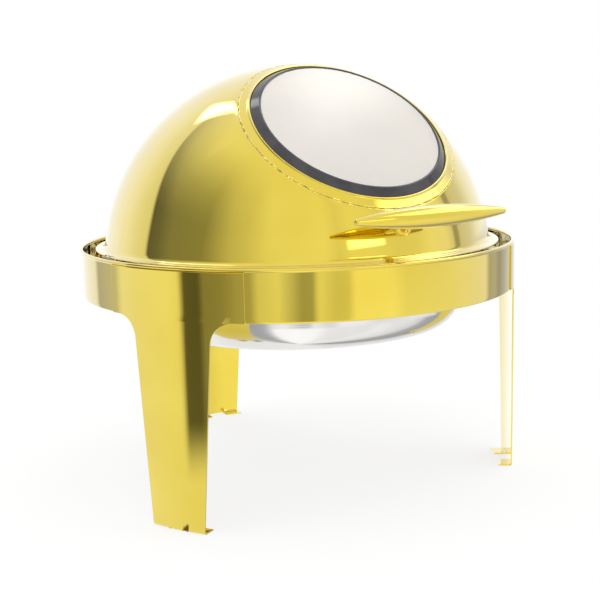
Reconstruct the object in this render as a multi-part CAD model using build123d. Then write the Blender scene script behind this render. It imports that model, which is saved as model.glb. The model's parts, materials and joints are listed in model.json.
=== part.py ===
from build123d import *
from math import cos, radians, sin, sqrt
import os

# Round roll-top chafing dish. Three sheet-metal legs carry a ring band. A domed lid with a round
# window turns on two pivots inside the band, and rolls back over the water pan and the food pan.
# The parts are built about the dome's vertical axis, with the floor at Z = 0 and the front at -Y.
# The finished parts are moved so that the origin is the middle of the whole footprint.
# All sizes are millimetres, all angles degrees.

# ---- driving dimensions ----
RING_RADIUS = 230.0          # outside of the ring band
RING_WALL = 1.2
RING_BOTTOM = 202.5
RING_HEIGHT = 49.5
RING_BEAD = 1.8              # radius of the rolled top edge
RING_HEM = 3.5               # height of the fold inside the lower edge

LEG_SHEET = 1.5
LEG_ANGLES = {"left": -60.0, "right": 60.0, "rear": 180.0}
LEG_HALF_FOOT = 30.0         # half width at the floor
LEG_HALF_KNEE = 44.2         # half width at the ring's lower edge
LEG_HALF_HEAD = 75.8         # half width of the plate that covers the ring
LEG_FILLET = 22.0
FOOT_TAB = 14.0
FOOT_BEND = 2.5              # outer radius of the fold at the floor
FOOT_NOTCH = 21.0            # gap between a leg's two foot tabs
FOOT_NOTCH_HEIGHT = 4.0
FOOT_EDGE_LIFT = 1.0         # the leg's edge between the tabs stays this far off the floor
LEG_STUD_RADIUS = 2.5
LEG_STUD_OFFSET = 14.5       # degrees each side of the leg's middle
LEG_STUD_Z = 226.0
LEG_WASHER_RADIUS = 5.0
LEG_WASHER_SHEET = 1.0
LEG_NUT_WIDTH = 8.0          # widths of nuts are across the flats
LEG_NUT_HEIGHT = 6.0

DOME_RADIUS = 206.0
DOME_SHEET = 1.2
DOME_CENTRE_Z = 231.0        # the lid's pivots are at this height too
LIP_TOP = 250.6
LIP_RADIUS = 215.0
LIP_FLARE = 6.0

WINDOW_ELEVATION = 51.3
CREASE_RADIUS = 112.7        # where the window's frame joins the dome
WINDOW_RADIUS = 100.4
HEM_TOP = 178.4              # these five are distances from the dome's centre
GASKET_FOOT = 176.9          # the gasket's slope rises from here
GASKET_TOP = 183.4
GLASS_TOP = 182.4
COLLAR_END = 170.8
HEM_RADIUS = 0.9
GLASS_RADIUS = 93.0
GLASS_THICKNESS = 4.0
GASKET_CREST_RADIUS = 92.6
GASKET_LIP_RADIUS = 91.0     # clear view through the window
RETAINER_RADII = (93.5, 109.0)
RETAINER_SHEET = 1.2
RETAINER_STUD_CIRCLE = 104.5
RETAINER_STUD_COUNT = 6
RETAINER_STUD_RADIUS = 1.5
RETAINER_NUT_WIDTH = 5.5
RETAINER_NUT_HEIGHT = 2.4

HANDLE_ELEVATION = 14.15
HANDLE_REACH = 255.8         # dome's centre to the middle of the bar
HANDLE_HALF_LENGTH = 81.5
HANDLE_RADIUS = 10.2
HANDLE_END_RADIUS = 3.2
POST_RADIUS = 5.5
POST_FLANGE_RADIUS = 10.0
POST_FLANGE_HEIGHT = 2.2
POST_COVE = 4.0
HANDLE_SCREW_RADIUS = 3.0
HANDLE_SCREW_END = 220.0
HANDLE_SCREW_HEAD = (5.5, 3.2)     # radius and height
HANDLE_HEX_SOCKET = (2.3, 2.0)     # radius and depth
HANDLE_WASHER_RADIUS = 8.0
HANDLE_WASHER_SHEET = 1.2

EAR_FACE = 215.8             # inner face of the lid's ears, from the dome's axis
EAR_SHEET = 1.5
EAR_HALF_WIDTH = 12.0
EAR_EYE = 10.0
EAR_TAB_START = 211.0
EAR_TAB_SHEET = 1.4
EAR_RIVET_X = 213.0
EAR_RIVET_Y = (-6.5, 6.5)
EAR_RIVET_RADIUS = 1.5
EAR_RIVET_HEAD = (2.3, 0.8)  # radius and height
BUSH_RADIUS = 6.0
BUSH_FLANGE = 3.0
BUSH_FACES = (214.3, 218.8)

STUD_SHOULDER = 4.0          # the lid turns on this radius
STUD_FLANGE_FACE = 226.5
SHOULDER_END = 213.9
RUNNING_CLEARANCE = 0.05
HOLE_CLEARANCE = 0.1
PIVOT_THREAD = 3.0
PIVOT_NUT_WIDTH = 10.0
PIVOT_NUT_HEIGHT = 4.5
PIVOT_SPACER_RADIUS = 7.0
PIVOT_WASHER_RADIUS = 8.0
OPEN_STOP_RADIUS = 3.0
OPEN_STOP_START = 214.8
OPEN_STOP_Y = 6.0
OPEN_STOP_DROP = 13.8        # below the pivots

CARRIER_RADII = (178.0, 179.5)
CARRIER_TOP = 239.4
CARRIER_BOTTOM = 219.5
LUG_FACES = (210.7, 212.7)
LUG_HALF_WIDTH = 10.0
LUG_TOP = 240.0
LUG_SHELF = 2.0
BRACKET_ANGLES = (-22.0, 22.0)
BRACKET_HALF_ANGLE = 3.6
BRACKET_Z = 232.0
BRACKET_SHEET = 2.0
BRACKET_FLANGE = (1.5, 18.0)       # sheet and drop
BRACKET_STUD_Z = 222.0
BRACKET_STUD_RADIUS = 2.0
BRACKET_NUT = (7.0, 3.2)           # width and height
BUMPER_RADIUS = 5.0
BUMPER_CIRCLE = 210.0
BUMPER_GAP = 0.1
BUMPER_CHAMFER = 1.2

PAN_SHEET = 1.0
PAN_RIM_RADIUS = 181.0
PAN_RIM_BEND = 2.0
WATER_PAN = (175.5, 173.0, 26.0, 161.0)    # wall radius at the top and at the foot, corner, floor
FOOD_PAN = (169.5, 162.5, 24.0, 177.0)

# ---- sizes that follow ----
RING_TOP = RING_BOTTOM + RING_HEIGHT
RING_INSIDE = RING_RADIUS - RING_WALL
LEG_OUTSIDE = RING_RADIUS + LEG_SHEET
DOME_INSIDE = DOME_RADIUS - DOME_SHEET
LEG_TOP = RING_TOP - 2 * RING_BEAD - 0.2
LIP_BOTTOM = LIP_TOP - DOME_SHEET
EAR_TAB_LOW = LIP_BOTTOM - EAR_TAB_SHEET
COLLAR_OUTSIDE = WINDOW_RADIUS + DOME_SHEET
COLLAR_SHOULDER = HEM_TOP - 0.2
RETAINER_LOW = COLLAR_END - RETAINER_SHEET
HALF_TURN_SINE = sqrt(0.5)
HANDLE_FRONT = HANDLE_REACH * cos(radians(HANDLE_ELEVATION)) + HANDLE_RADIUS
FOOTPRINT_SHIFT = (HANDLE_FRONT - LEG_OUTSIDE) / 2


def facing(elevation):
    """Plane at the dome's centre whose local Z points forwards and up by this angle."""
    tilt = radians(elevation)
    return Plane(origin=(0, 0, DOME_CENTRE_Z), x_dir=(1, 0, 0), z_dir=(0, -cos(tilt), sin(tilt)))


WINDOW = facing(WINDOW_ELEVATION).location
HANDLE = facing(HANDLE_ELEVATION).location
PIVOT_RIGHT = Plane(origin=(0, 0, DOME_CENTRE_Z), x_dir=(0, 1, 0), z_dir=(1, 0, 0)).location


# ---- helpers ----
def turned(face):
    """Solid of revolution about Z. The face is drawn as (radius, height)."""
    return revolve(Plane.XZ * face, Axis.Z)


def turned_polygon(*points):
    return turned(make_face(Polyline(*points, close=True)))


def tube(inner, outer, low, high):
    return turned_polygon((inner, low), (outer, low), (outer, high), (inner, high))


def rod(radius, low, high):
    return Pos(0, 0, low) * Cylinder(radius, high - low, align=(Align.CENTER, Align.CENTER, Align.MIN))


def nut(across_flats, bore, low, high):
    hexagon = RegularPolygon(across_flats / 2, 6, major_radius=False) - Circle(bore)
    return Pos(0, 0, low) * extrude(hexagon, high - low)


def dome_nut(across_flats, bore, low, height):
    """Cap nut: a hexagon with a closed round top, open at the bottom."""
    hexagon = extrude(RegularPolygon(across_flats / 2, 6, major_radius=False), height * 0.55)
    cap_radius = across_flats * 0.46
    cap = rod(cap_radius, 0, height - cap_radius) + Pos(0, 0, height - cap_radius) * Sphere(cap_radius)
    cap = cap & rod(cap_radius, 0, height)
    return Pos(0, 0, low) * (hexagon + cap - rod(bore, 0, height * 0.7))


def hung_on_wall(radius, half_width):
    """Distance from the axis at which a flat disc touches the inside of a round wall."""
    return sqrt(radius**2 - half_width**2)


def inwards(angle, height):
    """Place at the ring's axis: local Z points out through the ring at this angle from the front."""
    out = (sin(radians(angle)), -cos(radians(angle)), 0)
    return Plane(origin=(0, 0, height), x_dir=(0, 0, 1), z_dir=out).location


def group(shapes):
    """Separate solids kept together under one name."""
    return Compound([solid for shape in shapes for solid in shape.solids()])


def both_sides(shape):
    return group([mirror(shape, Plane.YZ), shape])


def inside_ring():
    return rod(RING_INSIDE, 0, RING_TOP)


# ---- ring and legs ----
LEG_STUD_PLACES = [
    inwards(angle + side * LEG_STUD_OFFSET, LEG_STUD_Z)
    for angle in LEG_ANGLES.values()
    for side in (-1, 1)
]


def frame_ring():
    wall_middle = RING_INSIDE + RING_WALL / 2
    band_height = RING_HEIGHT - RING_BEAD
    band = Pos(wall_middle, RING_BOTTOM + band_height / 2) * Rectangle(RING_WALL, band_height)
    hem = Pos(RING_INSIDE, RING_BOTTOM + RING_HEM / 2) * Rectangle(2 * RING_WALL, RING_HEM)
    bead = Pos(wall_middle, RING_TOP - RING_BEAD) * Circle(RING_BEAD)
    ring = turned(band + hem + bead)
    for place in LEG_STUD_PLACES:
        ring -= place * rod(LEG_STUD_RADIUS + HOLE_CLEARANCE, RING_INSIDE - 5, RING_RADIUS + 5)
    return ring


def leg_skin():
    """The leg's cross-section swept round the axis: a curved wall with its foot folded inwards."""
    wall_out, wall_in = LEG_OUTSIDE, RING_RADIUS
    tab_end = wall_out - FOOT_TAB
    bend_in = wall_out - FOOT_BEND
    inner_bend = FOOT_BEND - LEG_SHEET
    outer_mid = (bend_in + FOOT_BEND * HALF_TURN_SINE, FOOT_BEND * (1 - HALF_TURN_SINE))
    inner_mid = (bend_in + inner_bend * HALF_TURN_SINE, FOOT_BEND - inner_bend * HALF_TURN_SINE)
    section = make_face(
        [
            Line((wall_out, LEG_TOP), (wall_out, FOOT_BEND)),
            ThreePointArc((wall_out, FOOT_BEND), outer_mid, (bend_in, 0)),
            Line((bend_in, 0), (tab_end, 0)),
            Line((tab_end, 0), (tab_end, LEG_SHEET)),
            Line((tab_end, LEG_SHEET), (bend_in, LEG_SHEET)),
            ThreePointArc((bend_in, LEG_SHEET), inner_mid, (wall_in, FOOT_BEND)),
            Line((wall_in, FOOT_BEND), (wall_in, LEG_TOP)),
            Line((wall_in, LEG_TOP), (wall_out, LEG_TOP)),
        ]
    )
    return turned(section)


def leg_outline():
    corners = [
        (LEG_HALF_FOOT, 0),
        (LEG_HALF_KNEE, RING_BOTTOM),
        (LEG_HALF_HEAD, RING_BOTTOM),
        (LEG_HALF_HEAD, RING_TOP),
    ]
    mirrored = [(-x, z) for x, z in reversed(corners)]
    face = make_face(Polyline(*corners, *mirrored, close=True))
    knees = [v for v in face.vertices() if abs(abs(v.X) - LEG_HALF_KNEE) < 0.01]
    return fillet(knees, LEG_FILLET)


def leg(angle):
    depth = 40.0
    blank = Pos(0, -RING_RADIUS + depth, 0) * extrude(Plane.XZ * leg_outline(), depth * 1.5)
    front = leg_skin() & blank
    notch = Pos(0, -RING_RADIUS + depth / 2, 0) * Box(FOOT_NOTCH, depth, 2 * FOOT_NOTCH_HEIGHT)
    notch += Pos(0, -RING_RADIUS, 0) * Box(FOOT_NOTCH, depth, 2 * FOOT_EDGE_LIFT)
    return Rot(0, 0, angle) * (front - notch)


def leg_studs():
    """Studs welded to the back of the legs. They pass through the ring."""
    end = RING_INSIDE - LEG_WASHER_SHEET - LEG_NUT_HEIGHT * 0.6
    stud = rod(LEG_STUD_RADIUS, end, RING_RADIUS + 5)
    leg_inside = rod(RING_RADIUS, 0, RING_TOP)
    return group([(place * stud) & leg_inside for place in LEG_STUD_PLACES])


def leg_washers():
    face = hung_on_wall(RING_INSIDE, LEG_WASHER_RADIUS)
    washer = tube(LEG_STUD_RADIUS + HOLE_CLEARANCE, LEG_WASHER_RADIUS, face - LEG_WASHER_SHEET, face)
    return group([place * washer for place in LEG_STUD_PLACES])


def leg_nuts():
    face = hung_on_wall(RING_INSIDE, LEG_WASHER_RADIUS) - LEG_WASHER_SHEET
    cap = dome_nut(LEG_NUT_WIDTH, LEG_STUD_RADIUS, 0, LEG_NUT_HEIGHT)
    return group([place * Pos(0, 0, face) * Rot(180, 0, 0) * cap for place in LEG_STUD_PLACES])


# ---- lid ----
LIP_FLARE_Z = LIP_TOP + LIP_FLARE
LIP_FLARE_RISE = LIP_FLARE_Z - DOME_CENTRE_Z
LIP_FLARE_REACH = DOME_RADIUS + LIP_FLARE
LIP_FLARE_X = sqrt(LIP_FLARE_REACH**2 - LIP_FLARE_RISE**2)


def dome_foot(radius):
    """Where the dome's face of this radius ends and the flare of the rim begins."""
    share = radius / LIP_FLARE_REACH
    return LIP_FLARE_X * share, DOME_CENTRE_Z + LIP_FLARE_RISE * share


def lid_dome():
    """Round shell, open below and cut away round the window."""

    def skin(radius):
        crown = (radius * HALF_TURN_SINE, DOME_CENTRE_Z + radius * HALF_TURN_SINE)
        return ThreePointArc((0, DOME_CENTRE_Z + radius), crown, dome_foot(radius))

    top_line = Line((0, DOME_CENTRE_Z + DOME_INSIDE), (0, DOME_CENTRE_Z + DOME_RADIUS))
    foot_line = Line(dome_foot(DOME_INSIDE), dome_foot(DOME_RADIUS))
    dome = turned(make_face([skin(DOME_RADIUS), skin(DOME_INSIDE), top_line, foot_line]))
    dome -= WINDOW * rod(CREASE_RADIUS, DOME_RADIUS / 2, DOME_RADIUS + 10)
    return dome - HANDLE * rod(HANDLE_SCREW_RADIUS + 2 * HOLE_CLEARANCE, DOME_RADIUS / 2, DOME_RADIUS + 10)


def lid_rim():
    """Small flare welded under the dome. It runs out to a flat lip."""

    def skin(radius, flare, lip_z):
        bend = (LIP_FLARE_X - flare * HALF_TURN_SINE, LIP_FLARE_Z - flare * HALF_TURN_SINE)
        return [
            ThreePointArc(dome_foot(radius), bend, (LIP_FLARE_X, lip_z)),
            Line((LIP_FLARE_X, lip_z), (LIP_RADIUS, lip_z)),
        ]

    outside = skin(DOME_RADIUS, LIP_FLARE, LIP_TOP)
    inside = skin(DOME_INSIDE, LIP_FLARE + DOME_SHEET, LIP_BOTTOM)
    foot_line = Line(dome_foot(DOME_INSIDE), dome_foot(DOME_RADIUS))
    lip_edge = Line((LIP_RADIUS, LIP_BOTTOM), (LIP_RADIUS, LIP_TOP))
    rim = turned(make_face([*outside, *inside, foot_line, lip_edge]))
    for y in EAR_RIVET_Y:
        for x in (-EAR_RIVET_X, EAR_RIVET_X):
            rim -= Pos(x, y, 0) * rod(EAR_RIVET_RADIUS, LIP_BOTTOM - 1, LIP_TOP + 1)
    return rim


def window_frame():
    """Flat cone from the dome in to the window, hemmed and turned down round the gasket."""
    section = make_face(
        Polyline(
            (CREASE_RADIUS, hung_on_wall(DOME_INSIDE, CREASE_RADIUS)),
            (CREASE_RADIUS, hung_on_wall(DOME_RADIUS, CREASE_RADIUS)),
            (COLLAR_OUTSIDE, COLLAR_SHOULDER),
            (WINDOW_RADIUS, COLLAR_SHOULDER),
            (WINDOW_RADIUS, COLLAR_END),
            (COLLAR_OUTSIDE, COLLAR_END),
            (COLLAR_OUTSIDE, COLLAR_SHOULDER - DOME_SHEET),
            close=True,
        )
    )
    hem = Pos(WINDOW_RADIUS + HEM_RADIUS, HEM_TOP - HEM_RADIUS) * Circle(HEM_RADIUS)
    return WINDOW * turned(section + hem)


def lid_ear():
    """Angle plate under the lip, with the pivot's eye below."""
    eye = Circle(EAR_EYE) + make_face(
        Polyline(
            (-EAR_EYE, 0),
            (EAR_EYE, 0),
            (EAR_HALF_WIDTH, EAR_TAB_LOW - DOME_CENTRE_Z),
            (-EAR_HALF_WIDTH, EAR_TAB_LOW - DOME_CENTRE_Z),
            close=True,
        )
    )
    plate = PIVOT_RIGHT * Pos(0, 0, EAR_FACE) * extrude(eye - Circle(BUSH_RADIUS), EAR_SHEET)
    tab_length = EAR_FACE + EAR_SHEET - EAR_TAB_START
    tab_place = Pos(EAR_TAB_START + tab_length / 2, 0, EAR_TAB_LOW + EAR_TAB_SHEET / 2)
    ear = plate + tab_place * Box(tab_length, 2 * EAR_HALF_WIDTH, EAR_TAB_SHEET)
    for y in EAR_RIVET_Y:
        ear -= Pos(EAR_RIVET_X, y, 0) * rod(EAR_RIVET_RADIUS, EAR_TAB_LOW - 1, LIP_BOTTOM + 1)
    return ear


def ear_rivets():
    head_radius, head = EAR_RIVET_HEAD
    rivet = rod(EAR_RIVET_RADIUS, EAR_TAB_LOW, LIP_TOP)
    rivet += rod(head_radius, LIP_TOP, LIP_TOP + head)
    rivet += rod(head_radius, EAR_TAB_LOW - head, EAR_TAB_LOW)
    return group([Pos(x, y, 0) * rivet for x in (EAR_RIVET_X, -EAR_RIVET_X) for y in EAR_RIVET_Y])


def ear_bushes():
    inner_face, outer_face = BUSH_FACES
    flange_face = EAR_FACE + EAR_SHEET
    bore = STUD_SHOULDER + RUNNING_CLEARANCE
    bush = turned_polygon(
        (bore, inner_face),
        (BUSH_RADIUS, inner_face),
        (BUSH_RADIUS, flange_face),
        (BUSH_RADIUS + BUSH_FLANGE, flange_face),
        (BUSH_RADIUS + BUSH_FLANGE, outer_face),
        (bore, outer_face),
    )
    return both_sides(PIVOT_RIGHT * bush)


def window_glass():
    return WINDOW * rod(GLASS_RADIUS, GLASS_TOP - GLASS_THICKNESS, GLASS_TOP)


def window_gasket():
    """Raised rubber ring. It slopes up from the frame and holds the glass near its top."""
    glass_low = GLASS_TOP - GLASS_THICKNESS
    section = make_face(
        Polyline(
            (GASKET_CREST_RADIUS, COLLAR_END),
            (WINDOW_RADIUS, COLLAR_END),
            (WINDOW_RADIUS, GASKET_FOOT),
            (GASKET_CREST_RADIUS, GASKET_TOP),
            (GASKET_LIP_RADIUS, GASKET_TOP - 0.4),
            (GASKET_LIP_RADIUS, GLASS_TOP),
            (GLASS_RADIUS, GLASS_TOP),
            (GLASS_RADIUS, glass_low),
            (GASKET_LIP_RADIUS, glass_low),
            close=True,
        )
    )
    return WINDOW * turned(section)


def around_window(solid):
    step = 360 / RETAINER_STUD_COUNT
    place = Pos(RETAINER_STUD_CIRCLE, 0, 0)
    return [WINDOW * Rot(0, 0, step * (i + 0.5)) * place * solid for i in range(RETAINER_STUD_COUNT)]


def window_retainer():
    ring = WINDOW * tube(*RETAINER_RADII, RETAINER_LOW, COLLAR_END)
    for hole in around_window(rod(RETAINER_STUD_RADIUS + HOLE_CLEARANCE, RETAINER_LOW - 5, COLLAR_END + 5)):
        ring -= hole
    return ring


def retainer_studs():
    """Studs welded under the window's frame. Their tops follow its inner face."""
    low = RETAINER_LOW - RETAINER_NUT_HEIGHT - 0.7
    under_frame = WINDOW * turned_polygon(
        (COLLAR_OUTSIDE, low - 5),
        (CREASE_RADIUS, low - 5),
        (CREASE_RADIUS, hung_on_wall(DOME_INSIDE, CREASE_RADIUS)),
        (COLLAR_OUTSIDE, COLLAR_SHOULDER - DOME_SHEET),
    )
    studs = around_window(rod(RETAINER_STUD_RADIUS, low, HEM_TOP))
    return group([stud & under_frame for stud in studs])


def retainer_nuts():
    low = RETAINER_LOW - RETAINER_NUT_HEIGHT
    return group(around_window(nut(RETAINER_NUT_WIDTH, RETAINER_STUD_RADIUS, low, RETAINER_LOW)))


# ---- handle ----
HANDLE_WASHER_TOP = hung_on_wall(DOME_INSIDE, HANDLE_WASHER_RADIUS)
HANDLE_WASHER_LOW = HANDLE_WASHER_TOP - HANDLE_WASHER_SHEET


def handle_bar():
    """Spindle: thickest in the middle, with small round ends."""
    end = HANDLE_END_RADIUS
    shoulder = HANDLE_HALF_LENGTH - end
    mid_x, mid_y = shoulder + end * HALF_TURN_SINE, end * HALF_TURN_SINE
    section = make_face(
        [
            ThreePointArc((-shoulder, end), (0, HANDLE_RADIUS), (shoulder, end)),
            ThreePointArc((shoulder, end), (mid_x, mid_y), (HANDLE_HALF_LENGTH, 0)),
            Line((HANDLE_HALF_LENGTH, 0), (-HANDLE_HALF_LENGTH, 0)),
            ThreePointArc((-HANDLE_HALF_LENGTH, 0), (-mid_x, mid_y), (-shoulder, end)),
        ]
    )
    return HANDLE * Pos(0, 0, HANDLE_REACH) * revolve(section, Axis.X)


def handle_post():
    """Stem with a round base that sits on the dome and a top that fits the bar."""
    base = DOME_RADIUS - 1
    flange_top = DOME_RADIUS + POST_FLANGE_HEIGHT
    cove_start = (POST_RADIUS + POST_COVE, flange_top)
    cove_end = (POST_RADIUS, flange_top + POST_COVE)
    inset = POST_COVE * (1 - HALF_TURN_SINE)
    section = make_face(
        [
            Line((0, base), (POST_FLANGE_RADIUS, base)),
            Line((POST_FLANGE_RADIUS, base), (POST_FLANGE_RADIUS, flange_top)),
            Line((POST_FLANGE_RADIUS, flange_top), cove_start),
            ThreePointArc(cove_start, (POST_RADIUS + inset, flange_top + inset), cove_end),
            Line(cove_end, (POST_RADIUS, HANDLE_REACH)),
            Line((POST_RADIUS, HANDLE_REACH), (0, HANDLE_REACH)),
            Line((0, HANDLE_REACH), (0, base)),
        ]
    )
    post = turned(section) - Sphere(DOME_RADIUS) - rod(HANDLE_SCREW_RADIUS, 0, HANDLE_SCREW_END + 2)
    return HANDLE * post - handle_bar()


def handle_washer():
    hole = HANDLE_SCREW_RADIUS + 2 * HOLE_CLEARANCE
    return HANDLE * tube(hole, HANDLE_WASHER_RADIUS, HANDLE_WASHER_LOW, HANDLE_WASHER_TOP)


def handle_screw():
    head_radius, head_height = HANDLE_SCREW_HEAD
    socket_radius, socket_depth = HANDLE_HEX_SOCKET
    low = HANDLE_WASHER_LOW - head_height
    screw = rod(head_radius, low, HANDLE_WASHER_LOW)
    screw += rod(HANDLE_SCREW_RADIUS, HANDLE_WASHER_LOW, HANDLE_SCREW_END)
    screw -= Pos(0, 0, low) * extrude(RegularPolygon(socket_radius, 6), socket_depth)
    return HANDLE * screw


# ---- pivots, fixed to the ring ----
def pivot_studs():
    stud = rod(PIVOT_THREAD, LUG_FACES[0] - PIVOT_NUT_HEIGHT - 1.2, SHOULDER_END)
    stud += rod(STUD_SHOULDER, SHOULDER_END, STUD_FLANGE_FACE)
    stud += rod(EAR_EYE, STUD_FLANGE_FACE, RING_RADIUS)
    return both_sides((PIVOT_RIGHT * stud) & inside_ring())


def pivot_spacers():
    low = BUSH_FACES[1] + 2 * HOLE_CLEARANCE
    spacer = tube(STUD_SHOULDER + HOLE_CLEARANCE, PIVOT_SPACER_RADIUS, low, STUD_FLANGE_FACE)
    return both_sides(PIVOT_RIGHT * spacer)


def pivot_washers():
    washer = tube(PIVOT_THREAD + HOLE_CLEARANCE, PIVOT_WASHER_RADIUS, LUG_FACES[1], SHOULDER_END)
    return both_sides(PIVOT_RIGHT * washer)


def pivot_nuts():
    low = LUG_FACES[0] - PIVOT_NUT_HEIGHT
    return both_sides(PIVOT_RIGHT * nut(PIVOT_NUT_WIDTH, PIVOT_THREAD, low, LUG_FACES[0]))


def open_stops():
    """Pins on the ring that the ears meet when the lid is rolled back a quarter turn."""
    pin = Pos(OPEN_STOP_Y, -OPEN_STOP_DROP, 0) * rod(OPEN_STOP_RADIUS, OPEN_STOP_START, RING_RADIUS)
    return both_sides((PIVOT_RIGHT * pin) & inside_ring())


# ---- pan carrier ----
def carrier_hoop(side):
    """Half of the hoop that the pans hang in. Side is -1 for the front and 1 for the rear."""
    reach = CARRIER_RADII[1] + 10
    half = Pos(0, side * reach / 2, CARRIER_TOP / 2) * Box(2 * reach, reach, CARRIER_TOP)
    return tube(*CARRIER_RADII, CARRIER_BOTTOM, CARRIER_TOP) & half


def carrier_lug():
    """Angle plate from the pivot stud in to the place where the hoop's halves meet."""
    inner, outer = LUG_FACES
    low = CARRIER_BOTTOM
    plate_place = Pos((inner + outer) / 2, 0, (low + LUG_TOP) / 2)
    plate = plate_place * Box(outer - inner, 2 * LUG_HALF_WIDTH, LUG_TOP - low)
    plate -= PIVOT_RIGHT * rod(PIVOT_THREAD + HOLE_CLEARANCE, inner - 1, outer + 1)
    start = CARRIER_RADII[0]
    shelf_place = Pos((start + outer) / 2, 0, low + LUG_SHELF / 2)
    shelf = shelf_place * Box(outer - start, 2 * LUG_HALF_WIDTH, LUG_SHELF)
    return plate + (shelf - rod(CARRIER_RADII[1], 0, RING_TOP))


def bracket_sector():
    half = radians(BRACKET_HALF_ANGLE)
    far = 300.0
    x, y = far * sin(half), -far * cos(half)
    return extrude(make_face(Polyline((0, 0), (-x, y), (x, y), close=True)), far)


def front_bracket(angle):
    """Bent strip from the ring to the hoop. A rubber bumper for the lid stands on it."""
    sheet, drop = BRACKET_FLANGE
    top = BRACKET_Z + BRACKET_SHEET
    flange_in = RING_INSIDE - sheet
    strip = turned_polygon(
        (CARRIER_RADII[1], BRACKET_Z),
        (flange_in, BRACKET_Z),
        (flange_in, BRACKET_Z - drop),
        (RING_INSIDE, BRACKET_Z - drop),
        (RING_INSIDE, top),
        (CARRIER_RADII[1], top),
    )
    hole = rod(BRACKET_STUD_RADIUS + HOLE_CLEARANCE, RING_INSIDE - 20, RING_RADIUS)
    strip = (strip & bracket_sector()) - inwards(0, BRACKET_STUD_Z) * hole
    return Rot(0, 0, angle) * strip


def bracket_studs():
    stud = inwards(0, BRACKET_STUD_Z) * rod(BRACKET_STUD_RADIUS, RING_INSIDE - 6, RING_RADIUS)
    return group([Rot(0, 0, angle) * (stud & inside_ring()) for angle in BRACKET_ANGLES])


def bracket_nuts():
    width, height = BRACKET_NUT
    corner_reach = 0.6 * width
    face = hung_on_wall(RING_INSIDE - BRACKET_FLANGE[0], corner_reach)
    one = inwards(0, BRACKET_STUD_Z) * nut(width, BRACKET_STUD_RADIUS, face - height, face)
    return group([Rot(0, 0, angle) * one for angle in BRACKET_ANGLES])


def lid_bumpers():
    low = BRACKET_Z + BRACKET_SHEET
    high = LIP_BOTTOM - BUMPER_GAP
    bumper = turned_polygon(
        (0, low),
        (BUMPER_RADIUS, low),
        (BUMPER_RADIUS, high - BUMPER_CHAMFER),
        (BUMPER_RADIUS - BUMPER_CHAMFER, high),
        (0, high),
    )
    return group([Rot(0, 0, a) * Pos(0, -BUMPER_CIRCLE, 0) * bumper for a in BRACKET_ANGLES])


# ---- pans ----
def bowl(wall_top, wall_foot, corner, floor_z, rim_low):
    """Round drawn pan up to where its rim begins. Radii are of the outer face."""
    rim_high = rim_low + PAN_SHEET

    def skin(offset, rim_z):
        radius = corner - offset
        centre = (wall_foot - corner, floor_z + corner)
        low = (centre[0], floor_z + offset)
        side = (wall_foot - offset, centre[1])
        corner_mid = (centre[0] + radius * HALF_TURN_SINE, centre[1] - radius * HALF_TURN_SINE)
        under_rim = (wall_top - offset, rim_low - PAN_RIM_BEND)
        turn = PAN_RIM_BEND + offset
        shift = turn * HALF_TURN_SINE
        turn_mid = (wall_top + PAN_RIM_BEND - shift, rim_low - PAN_RIM_BEND + shift)
        return [
            Line((0, low[1]), low),
            ThreePointArc(low, corner_mid, side),
            Line(side, under_rim),
            ThreePointArc(under_rim, turn_mid, (wall_top + PAN_RIM_BEND, rim_z)),
        ]

    outside = skin(0, rim_low)
    inside = skin(PAN_SHEET, rim_high)
    axis_line = Line((0, floor_z), (0, floor_z + PAN_SHEET))
    edge = Line((wall_top + PAN_RIM_BEND, rim_low), (wall_top + PAN_RIM_BEND, rim_high))
    return turned(make_face([*outside, *inside, axis_line, edge]))


def rim(wall_top, rim_low):
    """Flat ring at a bowl's edge."""
    return tube(wall_top + PAN_RIM_BEND, PAN_RIM_RADIUS, rim_low, rim_low + PAN_SHEET)


def water_pan():
    return bowl(*WATER_PAN, CARRIER_TOP) + rim(WATER_PAN[0], CARRIER_TOP)


def food_pan():
    return bowl(*FOOD_PAN, CARRIER_TOP + PAN_SHEET)


def food_pan_rim():
    """Rolled on to the food pan, which rests on the water pan by it."""
    return rim(FOOD_PAN[0], CARRIER_TOP + PAN_SHEET)


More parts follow.
